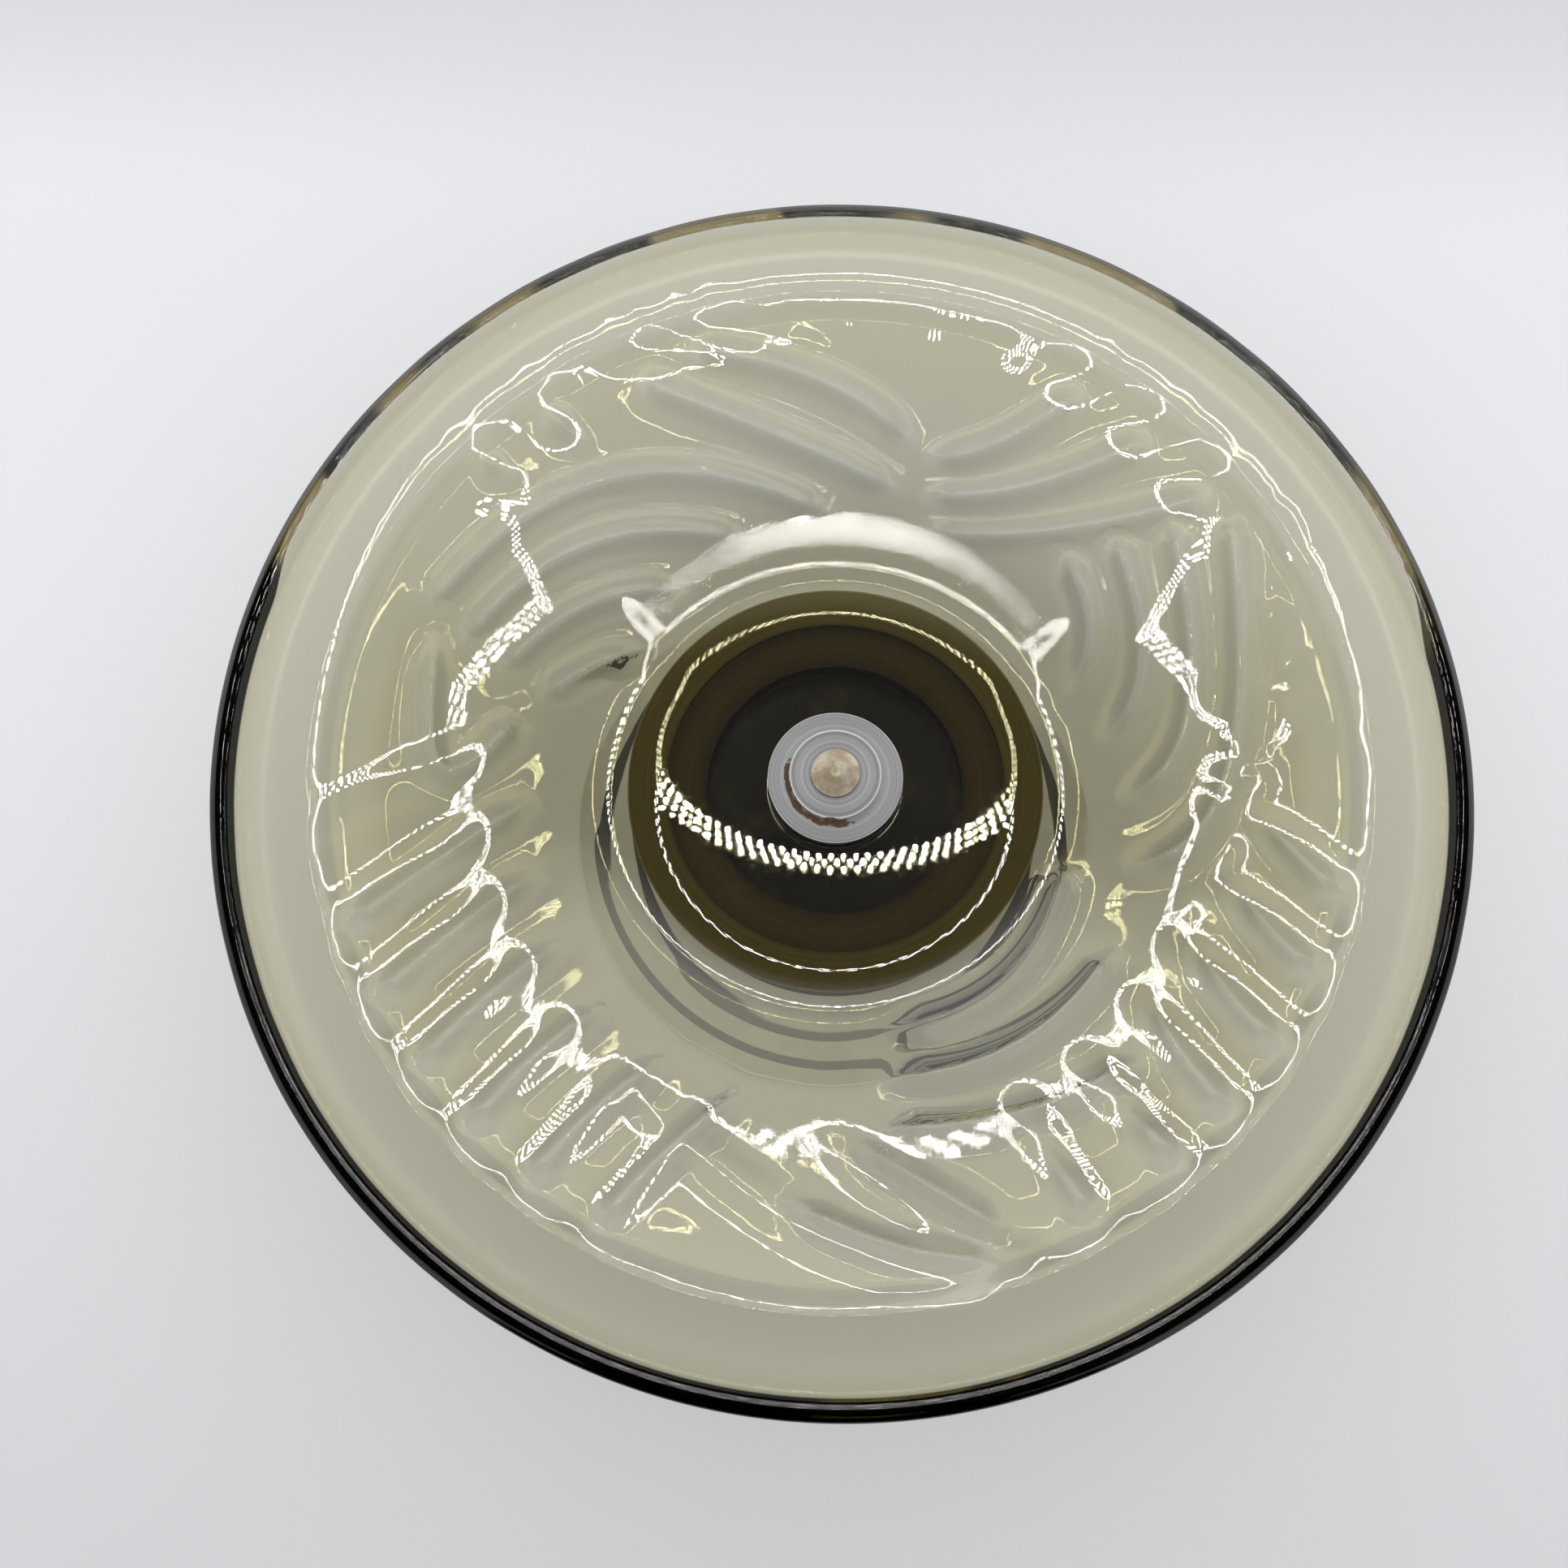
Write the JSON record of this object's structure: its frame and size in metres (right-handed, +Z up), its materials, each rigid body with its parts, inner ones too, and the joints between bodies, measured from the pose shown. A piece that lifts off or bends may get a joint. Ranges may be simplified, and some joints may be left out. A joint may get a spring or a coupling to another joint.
{
  "type": "pedestal bowl",
  "caption": "Wide shallow bowl of smoked pressed glass with leaf ribs on its underside, clamped by a centre stud, washer and collar nut to a turned metal pedestal.",
  "frame": {"origin": "centre of the felt's lower face, on the table", "axes": "+Z up along the stud; the back leaf of the relief lies towards +Y"},
  "size_m": [0.33, 0.33, 0.0946],
  "materials": {
    "smoked_glass": "fire-polished smoked olive glass",
    "stud_metal": "turned, dull and tarnished",
    "clamp_steel": "turned, with patches of corrosion",
    "rubber_dark": "matt black",
    "browned_brass": "turned and browned",
    "plated_metal": "polished nickel plate, slightly dulled",
    "plain_steel": "plain zinc-plated steel",
    "felt": "dark green felt"
  },
  "bodies": {
    "root": {"glass_bowl": "smoked_glass", "centre_stud": "stud_metal", "collar_nut": "clamp_steel", "clamp_washer": "clamp_steel", "upper_gasket": "rubber_dark", "bore_sleeve": "rubber_dark", "lower_gasket": "rubber_dark", "seat": "browned_brass", "column": "plated_metal", "base_shell": "plated_metal", "spreader_washer": "plain_steel", "lock_washer": "plain_steel", "base_nut": "plain_steel", "felt_pad": "felt"}
  },
  "joints": []
}
